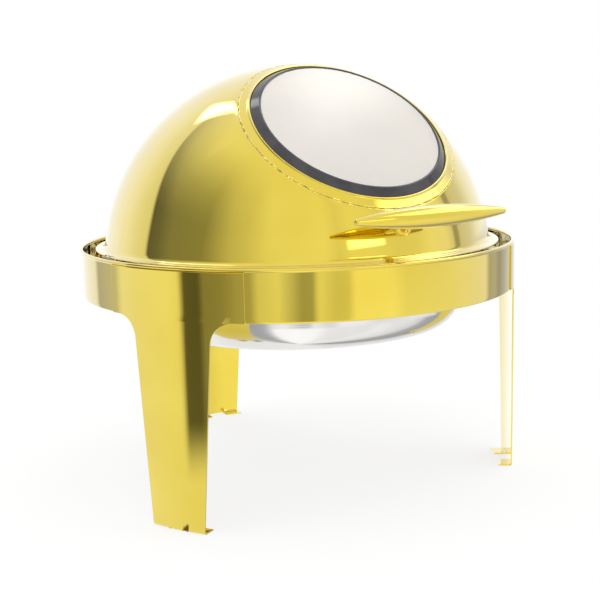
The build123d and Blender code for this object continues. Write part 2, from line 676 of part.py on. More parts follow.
# ---- every part, by name ----
def all_parts():
    parts = {"frame_ring": frame_ring()}
    for name, angle in LEG_ANGLES.items():
        parts[f"leg_{name}"] = leg(angle)
    parts["leg_studs"] = leg_studs()
    parts["leg_washers"] = leg_washers()
    parts["leg_nuts"] = leg_nuts()
    parts["lid_dome"] = lid_dome()
    parts["lid_rim"] = lid_rim()
    parts["window_frame"] = window_frame()
    parts["lid_ear_right"] = lid_ear()
    parts["lid_ear_left"] = mirror(lid_ear(), Plane.YZ)
    parts["ear_rivets"] = ear_rivets()
    parts["ear_bushes"] = ear_bushes()
    parts["window_glass"] = window_glass()
    parts["window_gasket"] = window_gasket()
    parts["window_retainer"] = window_retainer()
    parts["retainer_studs"] = retainer_studs()
    parts["retainer_nuts"] = retainer_nuts()
    parts["handle_bar"] = handle_bar()
    parts["handle_post"] = handle_post()
    parts["handle_washer"] = handle_washer()
    parts["handle_screw"] = handle_screw()
    parts["pivot_studs"] = pivot_studs()
    parts["pivot_spacers"] = pivot_spacers()
    parts["pivot_washers"] = pivot_washers()
    parts["pivot_nuts"] = pivot_nuts()
    parts["open_stops"] = open_stops()
    parts["carrier_hoop_front"] = carrier_hoop(-1)
    parts["carrier_hoop_rear"] = carrier_hoop(1)
    parts["carrier_lug_right"] = carrier_lug()
    parts["carrier_lug_left"] = mirror(carrier_lug(), Plane.YZ)
    parts["front_bracket_left"] = front_bracket(BRACKET_ANGLES[0])
    parts["front_bracket_right"] = front_bracket(BRACKET_ANGLES[1])
    parts["bracket_studs"] = bracket_studs()
    parts["bracket_nuts"] = bracket_nuts()
    parts["lid_bumpers"] = lid_bumpers()
    parts["water_pan"] = water_pan()
    parts["food_pan"] = food_pan()
    parts["food_pan_rim"] = food_pan_rim()
    return parts


def main():
    os.makedirs("parts", exist_ok=True)
    for name, shape in all_parts().items():
        export_step(Pos(0, FOOTPRINT_SHIFT, 0) * shape, f"parts/{name}.step")


main()
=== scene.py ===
import bpy
import json
from math import acos, asin, atan2, cos, pi, radians, sin, sqrt
from mathutils import Matrix, Vector


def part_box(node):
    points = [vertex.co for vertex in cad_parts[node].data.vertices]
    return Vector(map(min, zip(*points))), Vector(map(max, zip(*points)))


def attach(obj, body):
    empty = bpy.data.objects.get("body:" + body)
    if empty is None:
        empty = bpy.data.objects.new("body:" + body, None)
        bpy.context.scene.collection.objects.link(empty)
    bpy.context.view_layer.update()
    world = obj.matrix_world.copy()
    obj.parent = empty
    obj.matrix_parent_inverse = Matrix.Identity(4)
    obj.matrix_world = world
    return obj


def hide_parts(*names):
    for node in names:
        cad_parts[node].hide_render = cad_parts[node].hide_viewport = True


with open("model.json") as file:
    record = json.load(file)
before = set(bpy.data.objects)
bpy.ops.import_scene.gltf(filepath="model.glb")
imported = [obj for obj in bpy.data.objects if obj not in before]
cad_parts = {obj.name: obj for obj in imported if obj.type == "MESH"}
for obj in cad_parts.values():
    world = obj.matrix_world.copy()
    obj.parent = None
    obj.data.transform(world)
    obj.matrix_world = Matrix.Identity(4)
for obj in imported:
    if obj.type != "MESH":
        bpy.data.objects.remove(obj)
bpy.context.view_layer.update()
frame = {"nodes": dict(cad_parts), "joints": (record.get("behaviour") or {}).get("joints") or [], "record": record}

MM = 0.001

# ---- places and sizes that the frame gives, in metres ----
hinge = next(joint for joint in frame["joints"] if joint["name"] == "lid_roll")
CENTRE = Vector(hinge["pos_m"])                      # the dome's centre, on the pivots' axis
AXIS = Vector((CENTRE.x, CENTRE.y, 0))               # foot of the dome's vertical axis
ring_low, ring_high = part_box("frame_ring")
leg_low, leg_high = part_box("leg_rear")
dome_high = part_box("lid_dome")[1]
lip_low, lip_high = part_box("lid_rim")
glass_low, glass_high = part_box("window_glass")
bar_low, bar_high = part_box("handle_bar")
water_low, water_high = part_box("water_pan")
food_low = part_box("food_pan")[0]
food_rim_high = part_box("food_pan_rim")[1]

BEAD = 1.8 * MM
RING_TOP, RING_BOTTOM = ring_high.z, ring_low.z
LEG_OUTSIDE = leg_high.y - CENTRE.y
LEG_SHEET = 1.5 * MM
RING_RADIUS = LEG_OUTSIDE - LEG_SHEET
RING_WALL = 1.2 * MM
LEG_TOP = leg_high.z
LEG_HALF_HEAD = (leg_high.x - leg_low.x) / 2
LEG_HALF_KNEE = 44.2 * MM
LEG_HALF_FOOT = 30.0 * MM
LEG_FILLET = 22.0 * MM
FOOT_TAB = 14.0 * MM
FOOT_BEND = 2.5 * MM
FOOT_NOTCH = 10.5 * MM
LEG_ANGLES = {"leg_left": -60.0, "leg_right": 60.0, "leg_rear": 180.0}
LEG_EDGE = 0.3 * MM                                  # radius of the sheet's edges
NOTCH_LIFT = 1.0 * MM                                # how high the sheet ends between the foot's tabs

DOME_RADIUS = dome_high.z - CENTRE.z
DOME_SHEET = 1.2 * MM
LIP_RADIUS = lip_high.x - CENTRE.x
LIP_BOTTOM = lip_low.z - CENTRE.z
LIP_FLARE = 6.0 * MM
HEM = 0.9 * MM                                       # radius of the rolled edge at the window

WINDOW_TILT = radians(90 - 51.3)                     # from straight up, towards the front
GLASS_RADIUS = (glass_high.x - glass_low.x) / 2
GLASS_TOP = 182.4 * MM                               # this and the next four: from the dome's centre
GASKET_TOP = 183.4 * MM
GASKET_FOOT = 176.9 * MM
HEM_TOP = 178.4 * MM
COLLAR_END = 170.8 * MM
CREASE_RADIUS = 112.7 * MM
WINDOW_RADIUS = 100.4 * MM
GASKET_CREST_RADIUS = 92.6 * MM
GASKET_LIP_RADIUS = 91.0 * MM
GLASS_THICKNESS = 4.0 * MM

BAR_RADIUS = (bar_high.z - bar_low.z) / 2
BAR_HALF_LENGTH = (bar_high.x - bar_low.x) / 2
BAR_END_RADIUS = 3.2 * MM
BAR_CENTRE = (bar_low + bar_high) / 2
BAR_REACH = (BAR_CENTRE - CENTRE).length
BAR_TILT = atan2(CENTRE.y - BAR_CENTRE.y, BAR_CENTRE.z - CENTRE.z)
POST_RADIUS = 5.5 * MM
POST_FLANGE = 10.0 * MM
POST_FLANGE_HEIGHT = 2.2 * MM
POST_COVE = 4.0 * MM

PAN_SHEET = 1.0 * MM
WATER_PAN_SHAPE = (175.5 * MM, 173.0 * MM, 26.0 * MM)  # the wall's radius at the top and foot, and its corner
FOOD_PAN_SHAPE = (169.5 * MM, 162.5 * MM, 24.0 * MM)
BUMPER_RADIUS = 5.0 * MM
BUMPER_REACH = 210.0 * MM
BUMPER_ANGLES = {"bumper_left": -22.0, "bumper_right": 22.0}

# ---- the camera stands front left of the object, a little above it ----
VIEW_AZIMUTH = radians(-29.0)                        # from the front, towards +X
CAMERA_DISTANCE = 1.1729
CAMERA_HEIGHT = 0.3883
CAMERA_PITCH = radians(10.083)
CAMERA_ROLL = radians(-1.4215)
CAMERA_LENS = 65.25
CAMERA_SHIFT = (0.0026, 0.0060)


# ---- mesh helpers ----
def mesh_object(name, points, faces, smooth=True):
    mesh = bpy.data.meshes.new(name)
    mesh.from_pydata([tuple(p) for p in points], [], faces)
    mesh.validate()
    mesh.polygons.foreach_set("use_smooth", [smooth] * len(mesh.polygons))
    mesh.update()
    obj = bpy.data.objects.new(name, mesh)
    bpy.context.scene.collection.objects.link(obj)
    return obj


def closed_grid(name, rings):
    """Mesh through rings of points. Each ring closes, and the last ring joins the first."""
    count = len(rings[0])
    points = [p for ring in rings for p in ring]
    faces = []
    for i in range(len(rings)):
        here, after = i * count, (i + 1) % len(rings) * count
        for j in range(count):
            k = (j + 1) % count
            faces.append((here + j, here + k, after + k, after + j))
    return mesh_object(name, points, faces)


def lathe(name, profile, place, segments=288):
    """Turns a profile of (radius, height) about Z. The ends lie on the axis, or else the profile closes."""
    on_axis = profile[0][0] < 1e-9 and profile[-1][0] < 1e-9
    inner = profile[1:-1] if on_axis else profile
    points, faces = [], []
    for radius, height in inner:
        for j in range(segments):
            angle = 2 * pi * j / segments
            points.append(place @ Vector((radius * cos(angle), radius * sin(angle), height)))
    rows = len(inner)
    for i in range(rows - 1 if on_axis else rows):
        here, after = i * segments, (i + 1) % rows * segments
        for j in range(segments):
            k = (j + 1) % segments
            faces.append((here + j, here + k, after + k, after + j))
    if on_axis:
        for radius_height, row, flip in ((profile[0], 0, False), (profile[-1], rows - 1, True)):
            points.append(place @ Vector((0, 0, radius_height[1])))
            tip, start = len(points) - 1, row * segments
            for j in range(segments):
                k = (j + 1) % segments
                faces.append((tip, start + j, start + k) if flip else (tip, start + k, start + j))
    return mesh_object(name, points, faces)


def softened(corners, steps=5, support=0.6):
    """Closed or open outline with its corners rounded. Each corner is (x, y, radius).
    A support point stands beside each arc, so that smooth shading keeps the flats flat."""
    result = []
    count = len(corners)
    for i, (x, y, radius) in enumerate(corners):
        here = Vector((x, y))
        if radius <= 0:
            result.append((x, y))
            continue
        before = Vector(corners[i - 1][:2]) - here
        after = Vector(corners[(i + 1) % count][:2]) - here
        half_turn = before.angle(after) / 2
        reach = radius / max(1e-6, sin(half_turn)) * cos(half_turn)
        reach = min(reach, 0.45 * before.length, 0.45 * after.length)
        middle = here + (before.normalized() + after.normalized()).normalized() * (reach / cos(half_turn))
        start, end = here + before.normalized() * reach, here + after.normalized() * reach
        first, last = start - middle, end - middle
        if min(before.length, after.length) > 4 * reach:
            result.append(tuple(start + before.normalized() * reach * support))
        for n in range(steps + 1):
            share = n / steps
            turn = first.angle(last)
            weight_a = sin((1 - share) * turn) / sin(turn)
            weight_b = sin(share * turn) / sin(turn)
            result.append(tuple(middle + first * weight_a + last * weight_b))
        if min(before.length, after.length) > 4 * reach:
            result.append(tuple(end + after.normalized() * reach * support))
    return result


def arc(centre, radius, start, end, steps):
    """Points on an arc, from one angle to the other, in degrees."""
    angles = [radians(start + (end - start) * n / steps) for n in range(steps + 1)]
    return [(centre[0] + radius * cos(a), centre[1] + radius * sin(a)) for a in angles]


def shift_to(centre, tilt=0.0):
    """Place with its origin at a point, and its Z leaning towards the front by tilt."""
    return Matrix.Translation(centre) @ Matrix.Rotation(tilt, 4, "X")


WINDOW_PLACE = shift_to(CENTRE, WINDOW_TILT)
UPRIGHT = shift_to(AXIS)
DOME_PLACE = shift_to(CENTRE)
BAR_PLACE = shift_to(CENTRE, BAR_TILT)


def finished(obj, thickness=None, bevel=None):
    """Gives a sheet its thickness and its edges their small radius, and leaves a plain mesh."""
    if thickness:
        solid = obj.modifiers.new("sheet", "SOLIDIFY")
        solid.thickness, solid.offset = thickness, -1
        solid.use_even_offset = True
    if bevel:
        edge = obj.modifiers.new("edges", "BEVEL")
        edge.width, edge.segments = bevel, 3
        edge.limit_method, edge.angle_limit = "ANGLE", radians(50)
        edge.harden_normals = True
    bpy.context.view_layer.update()
    shaped = obj.evaluated_get(bpy.context.evaluated_depsgraph_get())
    mesh = bpy.data.meshes.new_from_object(shaped)
    obj.modifiers.clear()
    obj.data = mesh
    return obj


# ---- pieces ----
def frame_ring():
    outside, inside = RING_RADIUS, RING_RADIUS - RING_WALL
    middle = (outside + inside) / 2
    bead_z = RING_TOP - BEAD
    neck = asin(RING_WALL / 2 / BEAD) * 180 / pi
    bead = arc((middle, bead_z), BEAD, -90 + neck, 270 - neck, 28)
    neck_z = bead[0][1]
    hem = inside - RING_WALL
    hem_top = RING_BOTTOM + 3.5 * MM
    profile = [(outside, neck_z - n * (neck_z - RING_BOTTOM) / 12) for n in range(11, 0, -1)]
    profile += [(outside, neck_z - 0.3 * MM)] + bead + [(inside, neck_z - 0.3 * MM)]
    foot = softened([
        (inside, neck_z, 0),
        (inside, hem_top + 0.5 * MM, 0),
        (inside - 0.2 * MM, hem_top, 0.2 * MM),
        (hem, hem_top, 0.5 * MM),
        (hem, RING_BOTTOM, 0.6 * MM),
        (outside, RING_BOTTOM, 0.6 * MM),
        (outside, RING_BOTTOM + 3 * MM, 0),
    ])
    return lathe("ring_band", profile + foot[1:-1], UPRIGHT, 384)


def leg_rows():
    """Rows up the leg: (distance from the axis, height, half width, and which columns the row has)."""
    slope = (LEG_HALF_KNEE - LEG_HALF_FOOT) / RING_BOTTOM
    wall = LEG_OUTSIDE
    rows = []
    tab_steps = 4
    for n in range(tab_steps):
        reach = wall - FOOT_TAB + (FOOT_TAB - FOOT_BEND) * n / tab_steps
        rows.append((reach, 0.0, LEG_HALF_FOOT, "tabs"))
    for radius, height in arc((wall - FOOT_BEND, FOOT_BEND), FOOT_BEND, -90, 0, 6)[:-1]:
        rows.append((radius, height, LEG_HALF_FOOT, "tabs"))
    knee_z = RING_BOTTOM - LEG_FILLET
    length = sqrt(1 + slope**2)
    knee_x = LEG_HALF_FOOT + slope * knee_z + LEG_FILLET * length
    join_z = knee_z + LEG_FILLET * slope / length
    stem_steps = 22
    for n in range(stem_steps):
        z = FOOT_BEND + (join_z - FOOT_BEND) * n / stem_steps
        rows.append((wall, z, LEG_HALF_FOOT + slope * z, "stem"))
    start = 180 - atan2(slope, 1) * 180 / pi
    for x, z in arc((knee_x, knee_z), LEG_FILLET, start, 90, 12):
        rows.append((wall, z, x, "stem"))
    head_steps = 6
    for n in range(head_steps + 1):
        z = RING_BOTTOM + (LEG_TOP - RING_BOTTOM) * n / head_steps
        rows.append((wall, z, knee_x, "head"))
    del rows[-head_steps - 2]
    return rows, knee_x


def leg(name, angle):
    rows, knee_x = leg_rows()
    side, centre = 7, 6
    notch = FOOT_NOTCH / LEG_HALF_FOOT
    inner = [notch * (2 * n / centre - 1) for n in range(centre + 1)]
    outer = [notch + (1 - notch) * n / side for n in range(1, side + 1)]
    shares = [-u for u in reversed(outer)] + inner + outer
    wings = [knee_x + (LEG_HALF_HEAD - knee_x) * n / 3 for n in (1, 2, 3)]
    turn = Matrix.Rotation(radians(angle), 4, "Z")
    points, index = [], {}

    def point(x, radius, z):
        points.append(UPRIGHT @ turn @ Vector((x, -sqrt(radius**2 - x**2), z)))
        return len(points) - 1

    for i, (radius, z, half, kind) in enumerate(rows):
        for j, share in enumerate(shares):
            in_notch = side < j < side + centre
            if not (kind == "tabs" and in_notch):
                index[i, j] = point(share * half, radius, z)
        if kind == "head":
            for n, x in enumerate(wings):
                index[i, -1 - n] = point(-x, radius, z)
                index[i, len(shares) + n] = point(x, radius, z)
    faces = []
    columns = range(-len(wings), len(shares) + len(wings) - 1)
    for i in range(len(rows) - 1):
        for j in columns:
            quad = [(i, j), (i, j + 1), (i + 1, j + 1), (i + 1, j)]
            tab_gap = rows[i][3] == "tabs" and side <= j < side + centre
            if not tab_gap and all(corner in index for corner in quad):
                faces.append([index[corner] for corner in quad])
    first_stem = next(i for i, row in enumerate(rows) if row[3] == "stem")
    drop = FOOT_BEND - NOTCH_LIFT
    hung = {}
    radius, z, half = rows[first_stem][:3]
    for j in range(side, side + centre + 1):
        inset = 0.999 if j in (side, side + centre) else 1
        hung[j] = point(shares[j] * half * inset, radius, z - drop)
    for j in range(side, side + centre):
        faces.append([hung[j], hung[j + 1], index[first_stem, j + 1], index[first_stem, j]])
    return finished(mesh_object(name, points, faces), LEG_SHEET, LEG_EDGE)


def dome_section(angle):
    """One closed section of the lid's sheet: round the window's hem, over the dome, round the lip, back."""
    crease_out = sqrt(DOME_RADIUS**2 - CREASE_RADIUS**2)
    inside = DOME_RADIUS - DOME_SHEET
    hem_centre = (WINDOW_RADIUS + HEM, HEM_TOP - HEM)
    tube_out = WINDOW_RADIUS + DOME_SHEET
    cone_steps = 7

    def in_window(radius, height):
        return WINDOW_PLACE @ Vector((radius * cos(angle), radius * sin(angle), height))

    def on_dome(radius, height):
        return DOME_PLACE @ Vector((radius * cos(angle), radius * sin(angle), height))

    cone_top = (WINDOW_RADIUS + 1.9 * HEM, HEM_TOP - 1.05 * HEM)
    collar = HEM_TOP - 2 * MM - COLLAR_END
    window = [in_window(WINDOW_RADIUS, COLLAR_END + collar * n / 3) for n in range(4)]
    window += [in_window(r, h) for r, h in arc(hem_centre, HEM, 180, 20, 9)]
    for n in range(cone_steps):
        share = n / cone_steps
        radius = cone_top[0] + (CREASE_RADIUS - cone_top[0]) * share
        window.append(in_window(radius, cone_top[1] + (crease_out - cone_top[1]) * share))
    for out in (-2.0, -1.0, 1.0, 2.0):
        radius = CREASE_RADIUS + out * MM
        if out > 0:
            height = sqrt(DOME_RADIUS**2 - radius**2)
        else:
            share = (radius - cone_top[0]) / (CREASE_RADIUS - cone_top[0])
            height = cone_top[1] + (crease_out - cone_top[1]) * share
        window.append(in_window(radius, height))

    rise = LIP_BOTTOM + DOME_SHEET + LIP_FLARE
    reach = DOME_RADIUS + LIP_FLARE
    flare_x = sqrt(reach**2 - rise**2)
    flare_angle = atan2(rise, flare_x)

    def sphere(radius, start_radius, steps):
        first = (in_window(start_radius, sqrt(radius**2 - start_radius**2)) - CENTRE).normalized()
        last = (on_dome(cos(flare_angle), sin(flare_angle)) - CENTRE).normalized()
        between = acos(max(-1, min(1, first.dot(last))))
        row = []
        for n in range(steps + 1):
            share = n / steps
            direction = first * sin((1 - share) * between) + last * sin(share * between)
            row.append(CENTRE + direction.normalized() * radius)
        return row

    steps = 44
    outer = sphere(DOME_RADIUS, CREASE_RADIUS + 3.2 * MM, steps)
    start = 180 + flare_angle * 180 / pi
    flare = [on_dome(x, z) for x, z in arc((flare_x, rise), LIP_FLARE, start, 270, 10)[1:]]
    edge_z, edge = LIP_BOTTOM + DOME_SHEET / 2, DOME_SHEET / 2
    lip = [on_dome(x, z) for x, z in arc((LIP_RADIUS - edge, edge_z), edge, 90, -90, 8)]
    under = [on_dome(x, z) for x, z in arc((flare_x, rise), LIP_FLARE + DOME_SHEET, 270, start, 10)[:-1]]
    inner = list(reversed(sphere(inside, CREASE_RADIUS, steps)))
    back = [in_window(tube_out, HEM_TOP - 0.2 * MM - DOME_SHEET), in_window(tube_out, COLLAR_END)]
    return window + outer + flare + lip + under + inner + back


def lid_dome():
    segments = 320
    sections = [dome_section(2 * pi * j / segments) for j in range(segments)]
    return closed_grid("lid_shell", sections)


def window_gasket():
    """Raised ring that slopes up to the glass, with its edges rounded."""
    glass_bottom = GLASS_TOP - GLASS_THICKNESS
    profile = softened([
        (GASKET_CREST_RADIUS, COLLAR_END, 0.2 * MM),
        (WINDOW_RADIUS, COLLAR_END, 0.3 * MM),
        (WINDOW_RADIUS, GASKET_FOOT, 0.8 * MM),
        (GASKET_CREST_RADIUS, GASKET_TOP, 0.9 * MM),
        (GASKET_LIP_RADIUS, GASKET_TOP - 0.4 * MM, 0.3 * MM),
        (GASKET_LIP_RADIUS, GLASS_TOP, 0),
        (GLASS_RADIUS, GLASS_TOP, 0),
        (GLASS_RADIUS, glass_bottom, 0),
        (GASKET_LIP_RADIUS, glass_bottom, 0),
    ])
    return lathe("gasket_ring", profile, WINDOW_PLACE)


def bar_radius(x):
    """The bar's radius at a distance from its middle: a long shallow arc."""
    shoulder = BAR_HALF_LENGTH - BAR_END_RADIUS
    drop = BAR_RADIUS - BAR_END_RADIUS
    bow = (shoulder**2 + drop**2) / (2 * drop)
    return BAR_RADIUS - bow + sqrt(bow**2 - x**2)


def handle_bar():
    shoulder = BAR_HALF_LENGTH - BAR_END_RADIUS
    steps = 56
    sides = [(bar_radius(x), x) for x in (shoulder * (2 * n / steps - 1) for n in range(steps + 1))]
    low_end = arc((0, -shoulder), BAR_END_RADIUS, -90, 0, 8)[:-1]
    high_end = arc((0, shoulder), BAR_END_RADIUS, 0, 90, 8)[1:]
    profile = [(max(0.0, r), x) for r, x in low_end + sides + high_end]
    profile[0], profile[-1] = (0.0, -BAR_HALF_LENGTH), (0.0, BAR_HALF_LENGTH)
    lying = BAR_PLACE @ Matrix.Translation((0, 0, BAR_REACH)) @ Matrix.Rotation(pi / 2, 4, "Y")
    return lathe("bar_spindle", profile, lying, 128)


def handle_post():
    """Turned stem. Its base follows the dome and its top follows the bar."""
    stem, round_over = POST_RADIUS, 0.8 * MM
    flange_top = DOME_RADIUS + POST_FLANGE_HEIGHT
    segments = 96
    base = [POST_FLANGE * n / 4 for n in (1, 2, 3, 4)]
    rim = arc((POST_FLANGE - round_over, flange_top - round_over), round_over, 0, 90, 5)
    hollow = arc((stem + POST_COVE, flange_top + POST_COVE), POST_COVE, 270, 180, 9)
    rings = []
    for j in range(segments):
        angle = 2 * pi * j / segments
        side = stem * sin(angle)
        top = BAR_REACH - sqrt(bar_radius(stem * cos(angle)) ** 2 - side**2) + 0.05 * MM
        column = [(r, sqrt(DOME_RADIUS**2 - r**2) + 0.02 * MM) for r in base]
        column += rim + hollow
        column += [(stem, column[-1][1] + (top - column[-1][1]) * n / 4) for n in (1, 2, 3, 4)]
        column += [(stem * 0.5, top + 0.3 * MM)]
        rings.append([BAR_PLACE @ Vector((r * cos(angle), r * sin(angle), h)) for r, h in column])
    rows = len(rings[0])
    points = [rings[j][i] for i in range(rows) for j in range(segments)]
    faces = []
    for i in range(rows - 1):
        for j in range(segments):
            k = (j + 1) % segments
            faces.append((i * segments + j, i * segments + k, (i + 1) * segments + k, (i + 1) * segments + j))
    faces.append(tuple(reversed(range(segments))))
    faces.append(tuple((rows - 1) * segments + j for j in range(segments)))
    return mesh_object("post_stem", points, faces)


def pan(name, shape, rim_radius, floor_z, top_z):
    """Drawn pan: flat floor, round corner, slightly sloping wall, flat rim with a rounded edge."""
    wall_top, wall_bottom, corner = shape
    sheet, bend = PAN_SHEET, 2.0 * MM
    rim_z = top_z - sheet
    top = rim_z + sheet

    def skin(offset, level):
        centre = (wall_bottom - corner, floor_z + corner)
        floor = [(centre[0] * n / 8, floor_z + offset) for n in range(1, 8)]
        turn = arc(centre, corner - offset, -90, 0, 14)
        low_z, high_z = turn[-1][1], rim_z - bend
        wall = [
            (wall_bottom - offset + (wall_top - wall_bottom) * n / 8, low_z + (high_z - low_z) * n / 8)
            for n in range(1, 8)
        ]
        shoulder = arc((wall_top + bend, rim_z - bend), bend + offset, 180, 90, 8)
        return floor + turn + wall + shoulder + [(rim_radius - 3 * MM, level)]

    edge = arc((rim_radius - sheet / 2, rim_z + sheet / 2), sheet / 2, -90, 90, 8)
    outside, inside = skin(0, rim_z), skin(sheet, top)
    profile = [(0.0, floor_z)] + outside + edge + list(reversed(inside)) + [(0.0, floor_z + sheet)]
    return lathe(name, profile, UPRIGHT, 256)


def lid_bumpers():
    """Rubber buttons under the lip."""
    low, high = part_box("lid_bumpers")
    chamfer = 1.2 * MM
    corners = softened([
        (BUMPER_RADIUS, low.z, 0.4 * MM),
        (BUMPER_RADIUS, high.z - chamfer, 0.8 * MM),
        (BUMPER_RADIUS - chamfer, high.z, 0.8 * MM),
    ])
    profile = [(0.0, low.z)] + corners + [(0.0, high.z)]
    pieces = []
    for name, angle in BUMPER_ANGLES.items():
        out = Vector((sin(radians(angle)), -cos(radians(angle)), 0))
        pieces.append(lathe(name, profile, shift_to(AXIS + out * BUMPER_REACH), 48))
    return pieces


# ---- materials ----
def new_material(name, **inputs):
    material = bpy.data.materials.new(name)
    material.use_nodes = True
    shader = material.node_tree.nodes["Principled BSDF"]
    for key, value in inputs.items():
        shader.inputs[key.replace("_", " ")].default_value = value
    return material, material.node_tree, shader


def noise(tree, scale, detail=3.0, stretch=(1, 1, 1), rough=0.5):
    place = tree.nodes.new("ShaderNodeTexCoord")
    mapping = tree.nodes.new("ShaderNodeMapping")
    mapping.inputs["Scale"].default_value = stretch
    texture = tree.nodes.new("ShaderNodeTexNoise")
    texture.inputs["Scale"].default_value = scale
    texture.inputs["Detail"].default_value = detail
    texture.inputs["Roughness"].default_value = rough
    tree.links.new(place.outputs["Object"], mapping.inputs["Vector"])
    tree.links.new(mapping.outputs["Vector"], texture.inputs["Vector"])
    return texture.outputs["Fac"]


def spread(tree, value, low, high, start=0.3, end=0.7):
    """Maps a noise value to a range."""
    node = tree.nodes.new("ShaderNodeMapRange")
    node.inputs["From Min"].default_value = start
    node.inputs["From Max"].default_value = end
    node.inputs["To Min"].default_value = low
    node.inputs["To Max"].default_value = high
    tree.links.new(value, node.inputs["Value"])
    return node.outputs["Result"]


def colour_mix(tree, value, dark, light):
    node = tree.nodes.new("ShaderNodeMix")
    node.data_type = "RGBA"
    for key, colour in (("A", dark), ("B", light)):
        if isinstance(colour, tuple):
            node.inputs[key].default_value = (*colour, 1)
        else:
            tree.links.new(colour, node.inputs[key])
    tree.links.new(value, node.inputs["Factor"])
    return node.outputs["Result"]


def math_node(tree, operation, *values):
    node = tree.nodes.new("ShaderNodeMath")
    node.operation = operation
    for socket, value in zip(node.inputs, values):
        if isinstance(value, (int, float)):
            socket.default_value = value
        else:
            tree.links.new(value, socket)
    return node.outputs[0]


def add_bump(tree, shader, layers):
    """Stacks bumps: each layer is (height value, strength, distance)."""
    normal = None
    for value, strength, distance in layers:
        bump = tree.nodes.new("ShaderNodeBump")
        bump.inputs["Strength"].default_value = strength
        bump.inputs["Distance"].default_value = distance
        tree.links.new(value, bump.inputs["Height"])
        if normal:
            tree.links.new(normal, bump.inputs["Normal"])
        normal = bump.outputs["Normal"]
    tree.links.new(normal, shader.inputs["Normal"])


GOLD_DARK = (0.78, 0.60, 0.075)
GOLD_LIGHT = (0.85, 0.69, 0.115)
# Pale colour painted onto the gold at grazing angles: a painted sheen, not the plate's own tint.
GOLD_PAINTED_SHEEN = (0.93, 0.91, 0.84)


def gold():
    """Mirror-polished gold plate on sheet steel: slight waves, soft wipe marks and fine hairlines.
    The plate is painted paler where it turns away from the eye: a painted sheen for the bright room it mirrors at
    grazing angles."""
    material, tree, shader = new_material("polished_gold", Metallic=1.0, Roughness=0.04)
    clouds = noise(tree, 9.0, 4.0)
    plate = colour_mix(tree, spread(tree, clouds, 0, 1), GOLD_DARK, GOLD_LIGHT)
    # Painted sheen: by view angle, the base colour goes pale towards the plate's grazing edges.
    angle = tree.nodes.new("ShaderNodeLayerWeight")
    painted_sheen = math_node(tree, "POWER", angle.outputs["Facing"], 2.5)
    tree.links.new(colour_mix(tree, painted_sheen, plate, GOLD_PAINTED_SHEEN), shader.inputs["Base Color"])
    wipes = noise(tree, 26.0, 6.0, (1, 1, 0.35), 0.65)
    tree.links.new(spread(tree, wipes, 0.012, 0.055, 0.35, 0.75), shader.inputs["Roughness"])
    waves = noise(tree, 5.0, 1.0)
    hairlines = noise(tree, 320.0, 2.0, (1, 1, 0.06))
    add_bump(tree, shader, [(waves, 0.06, 0.006), (hairlines, 0.015, 0.0003)])
    return material


def pan_steel():
    """Polished stainless steel with faint turning marks."""
    material, tree, shader = new_material("pan_steel", Metallic=1.0, Roughness=0.2)
    clouds = noise(tree, 12.0, 4.0)
    tree.links.new(colour_mix(tree, spread(tree, clouds, 0, 1), (0.74, 0.725, 0.70), (0.88, 0.87, 0.85)),
                   shader.inputs["Base Color"])
    lines = noise(tree, 6.0, 3.0, (1, 1, 90))
    tree.links.new(spread(tree, lines, 0.07, 0.16), shader.inputs["Roughness"])
    add_bump(tree, shader, [(lines, 0.05, 0.0006)])
    return material


def bracket_steel():
    """Satin sheet steel, brushed lengthwise."""
    material, tree, shader = new_material("bracket_steel", Metallic=1.0, Roughness=0.3)
    brushing = noise(tree, 14.0, 4.0, (1, 40, 40))
    tree.links.new(colour_mix(tree, spread(tree, brushing, 0, 1), (0.50, 0.49, 0.47), (0.68, 0.67, 0.65)),
                   shader.inputs["Base Color"])
    tree.links.new(spread(tree, brushing, 0.24, 0.40), shader.inputs["Roughness"])
    add_bump(tree, shader, [(brushing, 0.15, 0.0005)])
    return material


def hardware():
    """Bright zinc on small fasteners."""
    material, tree, shader = new_material("bright_zinc", Metallic=1.0, Roughness=0.2)
    spots = noise(tree, 220.0, 3.0)
    tree.links.new(colour_mix(tree, spread(tree, spots, 0, 1), (0.58, 0.60, 0.62), (0.78, 0.79, 0.80)),
                   shader.inputs["Base Color"])
    tree.links.new(spread(tree, spots, 0.14, 0.32), shader.inputs["Roughness"])
    add_bump(tree, shader, [(spots, 0.12, 0.0003)])
    return material


def window_glass():
    """Clear tempered glass with a thin film of steam on its inner side."""
    material, tree, shader = new_material(
        "steamed_glass", Roughness=0.04, IOR=1.5, Coat_Weight=0.8, Coat_Roughness=0.02, Coat_IOR=1.5
    )
    film = noise(tree, 7.0, 5.0)
    tree.links.new(colour_mix(tree, spread(tree, film, 0, 1), (0.76, 0.715, 0.65), (0.82, 0.785, 0.735)),
                   shader.inputs["Base Color"])
    tree.links.new(spread(tree, film, 0.20, 0.34), shader.inputs["Transmission Weight"])
    beads = noise(tree, 600.0, 2.0)
    tree.links.new(spread(tree, beads, 0.05, 0.16), shader.inputs["Roughness"])
    return material


def black_seal():
    """Black silicone, glossy, with a little dust."""
    material, tree, shader = new_material("black_silicone", Roughness=0.1, IOR=1.5)
    dust = noise(tree, 60.0, 5.0)
    tree.links.new(colour_mix(tree, spread(tree, dust, 0, 1), (0.030, 0.028, 0.034), (0.060, 0.056, 0.064)),
                   shader.inputs["Base Color"])
    tree.links.new(spread(tree, dust, 0.05, 0.13), shader.inputs["Roughness"])
    grain = noise(tree, 900.0, 2.0)
    add_bump(tree, shader, [(grain, 0.05, 0.0002)])
    return material


def bumper_rubber():
    material, tree, shader = new_material("bumper_rubber", Roughness=0.7)
    grain = noise(tree, 500.0, 3.0)
    tree.links.new(colour_mix(tree, spread(tree, grain, 0, 1), (0.020, 0.020, 0.020), (0.050, 0.049, 0.047)),
                   shader.inputs["Base Color"])
    tree.links.new(spread(tree, grain, 0.60, 0.85), shader.inputs["Roughness"])
    add_bump(tree, shader, [(grain, 0.2, 0.0003)])
    return material


